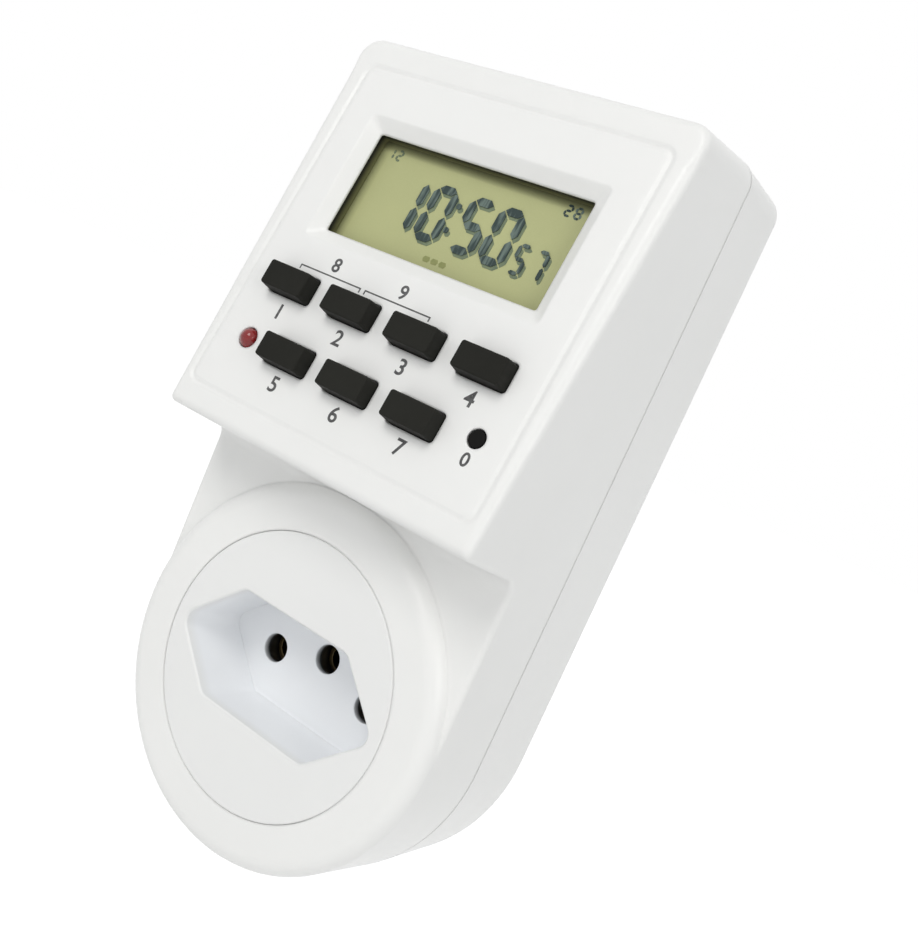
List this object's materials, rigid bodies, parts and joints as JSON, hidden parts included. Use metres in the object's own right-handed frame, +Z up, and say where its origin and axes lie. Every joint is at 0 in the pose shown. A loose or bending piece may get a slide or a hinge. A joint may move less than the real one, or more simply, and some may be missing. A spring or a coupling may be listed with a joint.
{
  "type": "plug-in digital timer",
  "caption": "Plug-in weekly timer: case with a tilted display and push keys above a recessed three-hole socket, with a matching three-pin plug behind.",
  "frame": {"origin": "midway between the live and neutral pins, on the plug's flat end face", "axes": "+X to the right seen from the front, +Y along the pins into the wall, +Z up towards the display"},
  "size_m": [0.059, 0.0735, 0.1184],
  "materials": {
    "case_white": "moulded white plastic, fine satin grain",
    "socket_white": "moulded white plastic, slightly duller than the case",
    "plug_white": "moulded white plastic",
    "pin_metal": "nickel-plated brass, polished",
    "contact_brass": "bare rolled brass",
    "key_black": "black moulded keys, satin",
    "reset_black": "black moulded button, satin",
    "silicone_grey": "translucent grey silicone",
    "lamp_red": "dark red diffused lamp body",
    "display_glass": "olive reflective display glass",
    "frame_plastic": "black moulded plastic",
    "strip_rubber": "layered dark rubber",
    "board_green": "green lacquered board",
    "screw_steel": "zinc-plated steel",
    "component_black": "black moulded resin",
    "battery_steel": "bright steel can",
    "component_yellow": "yellow moulded case",
    "can_aluminium": "bare aluminium can",
    "component_blue": "blue epoxy coating",
    "resistor_tan": "tan lacquer",
    "wire_black": "black insulation",
    "wire_blue": "blue insulation",
    "ribbon_grey": "grey ribbed flat cable"
  },
  "bodies": {
    "case": {"front_housing": "case_white", "rear_cover": "case_white", "socket_insert": "socket_white", "plug_base": "plug_white", "contact_carrier": "component_black", "pin_live": "pin_metal", "pin_neutral": "pin_metal", "pin_earth": "pin_metal", "contact_live": "contact_brass", "contact_neutral": "contact_brass", "contact_earth": "contact_brass", "key_mat": "silicone_grey", "status_lamp": "lamp_red", "display_glass": "display_glass", "display_frame": "frame_plastic", "rubber_strip": "strip_rubber", "display_board": "board_green", "display_board_screws": "screw_steel", "clock_chip": "component_black", "backup_cell": "battery_steel", "mains_board": "board_green", "mains_board_screws": "screw_steel", "relay": "component_black", "film_capacitor": "component_yellow", "smoothing_can": "can_aluminium", "varistor": "component_blue", "thermal_fuse": "component_blue", "rectifier_diodes": "component_black", "resistors": "resistor_tan", "case_screws": "screw_steel", "wire_live_in": "wire_black", "wire_live_out": "wire_black", "wire_neutral": "wire_blue", "ribbon_cable": "ribbon_grey"},
    "key_1_body": {"key_1": "key_black"},
    "key_2_body": {"key_2": "key_black"},
    "key_3_body": {"key_3": "key_black"},
    "key_4_body": {"key_4": "key_black"},
    "key_5_body": {"key_5": "key_black"},
    "key_6_body": {"key_6": "key_black"},
    "key_7_body": {"key_7": "key_black"},
    "reset_button_body": {"reset_button": "reset_black"}
  },
  "joints": [
    {"name": "key_1_press", "type": "slide", "parent": "case", "child": "key_1_body", "axis": [0, 0.982, -0.1891], "range_m": [0, 0.0008], "stiffness_N_per_m": 800, "springref_m": -0.0008, "deforming": ["key_mat"]},
    {"name": "key_2_press", "type": "slide", "parent": "case", "child": "key_2_body", "axis": [0, 0.982, -0.1891], "range_m": [0, 0.0008], "stiffness_N_per_m": 800, "springref_m": -0.0008, "deforming": ["key_mat"]},
    {"name": "key_3_press", "type": "slide", "parent": "case", "child": "key_3_body", "axis": [0, 0.982, -0.1891], "range_m": [0, 0.0008], "stiffness_N_per_m": 800, "springref_m": -0.0008, "deforming": ["key_mat"]},
    {"name": "key_4_press", "type": "slide", "parent": "case", "child": "key_4_body", "axis": [0, 0.982, -0.1891], "range_m": [0, 0.0008], "stiffness_N_per_m": 800, "springref_m": -0.0008, "deforming": ["key_mat"]},
    {"name": "key_5_press", "type": "slide", "parent": "case", "child": "key_5_body", "axis": [0, 0.982, -0.1891], "range_m": [0, 0.0008], "stiffness_N_per_m": 800, "springref_m": -0.0008, "deforming": ["key_mat"]},
    {"name": "key_6_press", "type": "slide", "parent": "case", "child": "key_6_body", "axis": [0, 0.982, -0.1891], "range_m": [0, 0.0008], "stiffness_N_per_m": 800, "springref_m": -0.0008, "deforming": ["key_mat"]},
    {"name": "key_7_press", "type": "slide", "parent": "case", "child": "key_7_body", "axis": [0, 0.982, -0.1891], "range_m": [0, 0.0008], "stiffness_N_per_m": 800, "springref_m": -0.0008, "deforming": ["key_mat"]},
    {"name": "reset_button_press", "type": "slide", "parent": "case", "child": "reset_button_body", "axis": [0, 0.982, -0.1891], "range_m": [0, 0.0006], "stiffness_N_per_m": 800, "springref_m": -0.0008, "deforming": ["key_mat"]}
  ]
}
